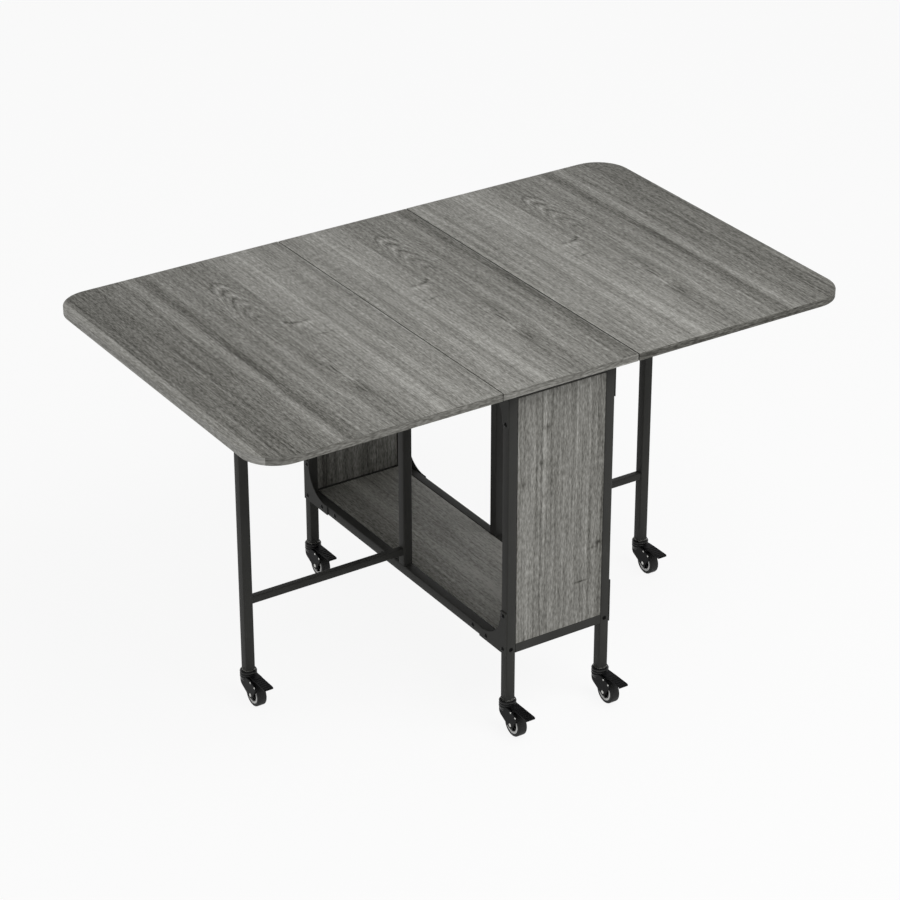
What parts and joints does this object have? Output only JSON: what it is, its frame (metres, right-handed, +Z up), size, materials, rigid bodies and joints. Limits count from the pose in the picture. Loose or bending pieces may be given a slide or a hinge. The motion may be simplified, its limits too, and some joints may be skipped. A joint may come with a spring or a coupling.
{
  "type": "drop-leaf dining table",
  "caption": "Drop-leaf dining table: fixed centre board on a tube frame with end panels and shelf, hinged leaves held up by swinging gate legs, on braked swivel casters.",
  "frame": {"origin": "on the floor under the centre of the table top", "axes": "+X along the length of the top, +Y from the front end panel to the back one, +Z up"},
  "size_m": [1.3, 0.8405, 0.742],
  "materials": {
    "oak_decor": "satin grey oak decor",
    "black_steel": "satin black powder coat",
    "zinc_steel": "zinc plated",
    "black_nylon": "gloss",
    "wheel_rubber": "satin",
    "glide_plastic": "matte"
  },
  "bodies": {
    "frame": {"centre_top": "oak_decor", "front_panel": "oak_decor", "back_panel": "oak_decor", "shelf": "oak_decor", "front_left_post": "black_steel", "front_right_post": "black_steel", "back_left_post": "black_steel", "back_right_post": "black_steel", "front_bottom_rail": "black_steel", "back_bottom_rail": "black_steel", "left_bottom_rail": "black_steel", "right_bottom_rail": "black_steel", "left_top_rail": "black_steel", "right_top_rail": "black_steel", "front_top_rail": "black_steel", "back_top_rail": "black_steel", "lower_gussets": "black_steel", "upper_gussets": "black_steel", "left_hinge_centre_plates": "zinc_steel", "right_hinge_centre_plates": "zinc_steel", "frame_caster_stems": "zinc_steel"},
    "left_leaf": {"left_leaf": "oak_decor", "left_hinge_leaf_plates": "zinc_steel"},
    "left_gate": {"left_gate_pivot_post": "black_steel", "left_gate_leg": "black_steel", "left_gate_lower_bar": "black_steel", "left_gate_upper_bar": "black_steel", "left_gate_pivot_pins": "zinc_steel", "left_gate_glide": "glide_plastic", "left_gate_caster_stem": "zinc_steel"},
    "right_leaf": {"right_leaf": "oak_decor", "right_hinge_leaf_plates": "zinc_steel"},
    "right_gate": {"right_gate_pivot_post": "black_steel", "right_gate_leg": "black_steel", "right_gate_lower_bar": "black_steel", "right_gate_upper_bar": "black_steel", "right_gate_pivot_pins": "zinc_steel", "right_gate_glide": "glide_plastic", "right_gate_caster_stem": "zinc_steel"},
    "front_left_caster_swivel": {"front_left_caster_fork": "black_nylon"},
    "front_left_caster_wheel": {"front_left_caster_wheel": "wheel_rubber"},
    "front_left_caster_pedal": {"front_left_caster_brake_pedal": "black_nylon"},
    "front_right_caster_swivel": {"front_right_caster_fork": "black_nylon"},
    "front_right_caster_wheel": {"front_right_caster_wheel": "wheel_rubber"},
    "front_right_caster_pedal": {"front_right_caster_brake_pedal": "black_nylon"},
    "back_left_caster_swivel": {"back_left_caster_fork": "black_nylon"},
    "back_left_caster_wheel": {"back_left_caster_wheel": "wheel_rubber"},
    "back_left_caster_pedal": {"back_left_caster_brake_pedal": "black_nylon"},
    "back_right_caster_swivel": {"back_right_caster_fork": "black_nylon"},
    "back_right_caster_wheel": {"back_right_caster_wheel": "wheel_rubber"},
    "back_right_caster_pedal": {"back_right_caster_brake_pedal": "black_nylon"},
    "left_gate_caster_swivel": {"left_gate_caster_fork": "black_nylon"},
    "left_gate_caster_wheel": {"left_gate_caster_wheel": "wheel_rubber"},
    "left_gate_caster_pedal": {"left_gate_caster_brake_pedal": "black_nylon"},
    "right_gate_caster_swivel": {"right_gate_caster_fork": "black_nylon"},
    "right_gate_caster_wheel": {"right_gate_caster_wheel": "wheel_rubber"},
    "right_gate_caster_pedal": {"right_gate_caster_brake_pedal": "black_nylon"}
  },
  "joints": [
    {"name": "left_leaf_hinge", "type": "hinge", "parent": "frame", "child": "left_leaf", "pos_m": [-0.15, 0, 0.7224], "axis": [0, 1, 0], "range_deg": [0, 5]},
    {"name": "left_gate_swing", "type": "hinge", "parent": "frame", "child": "left_gate", "pos_m": [-0.108, 0, 0.1885], "axis": [0, 0, 1], "range_deg": [-84.5, 0]},
    {"name": "right_leaf_hinge", "type": "hinge", "parent": "frame", "child": "right_leaf", "pos_m": [0.15, 0, 0.7224], "axis": [0, -1, 0], "range_deg": [0, 5]},
    {"name": "right_gate_swing", "type": "hinge", "parent": "frame", "child": "right_gate", "pos_m": [0.108, 0, 0.1885], "axis": [0, 0, -1], "range_deg": [-84.5, 0]},
    {"name": "front_left_caster_swivel", "type": "hinge", "parent": "frame", "child": "front_left_caster_swivel", "pos_m": [-0.108, -0.362, 0.0652], "axis": [0, 0, 1], "continuous": true},
    {"name": "front_left_caster_roll", "type": "hinge", "parent": "front_left_caster_swivel", "child": "front_left_caster_wheel", "pos_m": [-0.108, -0.391, 0.025], "axis": [1, 0, 0], "continuous": true},
    {"name": "front_left_caster_brake", "type": "hinge", "parent": "front_left_caster_swivel", "child": "front_left_caster_pedal", "pos_m": [-0.108, -0.3925, 0.054], "axis": [1, 0, 0], "range_deg": [0, 14]},
    {"name": "front_right_caster_swivel", "type": "hinge", "parent": "frame", "child": "front_right_caster_swivel", "pos_m": [0.108, -0.362, 0.0652], "axis": [0, 0, -1], "continuous": true},
    {"name": "front_right_caster_roll", "type": "hinge", "parent": "front_right_caster_swivel", "child": "front_right_caster_wheel", "pos_m": [0.108, -0.391, 0.025], "axis": [1, 0, 0], "continuous": true},
    {"name": "front_right_caster_brake", "type": "hinge", "parent": "front_right_caster_swivel", "child": "front_right_caster_pedal", "pos_m": [0.108, -0.3925, 0.054], "axis": [1, 0, 0], "range_deg": [0, 14]},
    {"name": "back_left_caster_swivel", "type": "hinge", "parent": "frame", "child": "back_left_caster_swivel", "pos_m": [-0.108, 0.362, 0.0652], "axis": [0, 0, 1], "continuous": true},
    {"name": "back_left_caster_roll", "type": "hinge", "parent": "back_left_caster_swivel", "child": "back_left_caster_wheel", "pos_m": [-0.108, 0.333, 0.025], "axis": [1, 0, 0], "continuous": true},
    {"name": "back_left_caster_brake", "type": "hinge", "parent": "back_left_caster_swivel", "child": "back_left_caster_pedal", "pos_m": [-0.108, 0.3315, 0.054], "axis": [1, 0, 0], "range_deg": [0, 14]},
    {"name": "back_right_caster_swivel", "type": "hinge", "parent": "frame", "child": "back_right_caster_swivel", "pos_m": [0.108, 0.362, 0.0652], "axis": [0, 0, -1], "continuous": true},
    {"name": "back_right_caster_roll", "type": "hinge", "parent": "back_right_caster_swivel", "child": "back_right_caster_wheel", "pos_m": [0.108, 0.333, 0.025], "axis": [1, 0, 0], "continuous": true},
    {"name": "back_right_caster_brake", "type": "hinge", "parent": "back_right_caster_swivel", "child": "back_right_caster_pedal", "pos_m": [0.108, 0.3315, 0.054], "axis": [1, 0, 0], "range_deg": [0, 14]},
    {"name": "left_gate_caster_swivel", "type": "hinge", "parent": "left_gate", "child": "left_gate_caster_swivel", "pos_m": [-0.469, 0, 0.0652], "axis": [0, 0, 1], "continuous": true},
    {"name": "left_gate_caster_roll", "type": "hinge", "parent": "left_gate_caster_swivel", "child": "left_gate_caster_wheel", "pos_m": [-0.469, -0.029, 0.025], "axis": [1, 0, 0], "continuous": true},
    {"name": "left_gate_caster_brake", "type": "hinge", "parent": "left_gate_caster_swivel", "child": "left_gate_caster_pedal", "pos_m": [-0.469, -0.0305, 0.054], "axis": [1, 0, 0], "range_deg": [0, 14]},
    {"name": "right_gate_caster_swivel", "type": "hinge", "parent": "right_gate", "child": "right_gate_caster_swivel", "pos_m": [0.469, 0, 0.0652], "axis": [0, 0, -1], "continuous": true},
    {"name": "right_gate_caster_roll", "type": "hinge", "parent": "right_gate_caster_swivel", "child": "right_gate_caster_wheel", "pos_m": [0.469, -0.029, 0.025], "axis": [1, 0, 0], "continuous": true},
    {"name": "right_gate_caster_brake", "type": "hinge", "parent": "right_gate_caster_swivel", "child": "right_gate_caster_pedal", "pos_m": [0.469, -0.0305, 0.054], "axis": [1, 0, 0], "range_deg": [0, 14]}
  ]
}
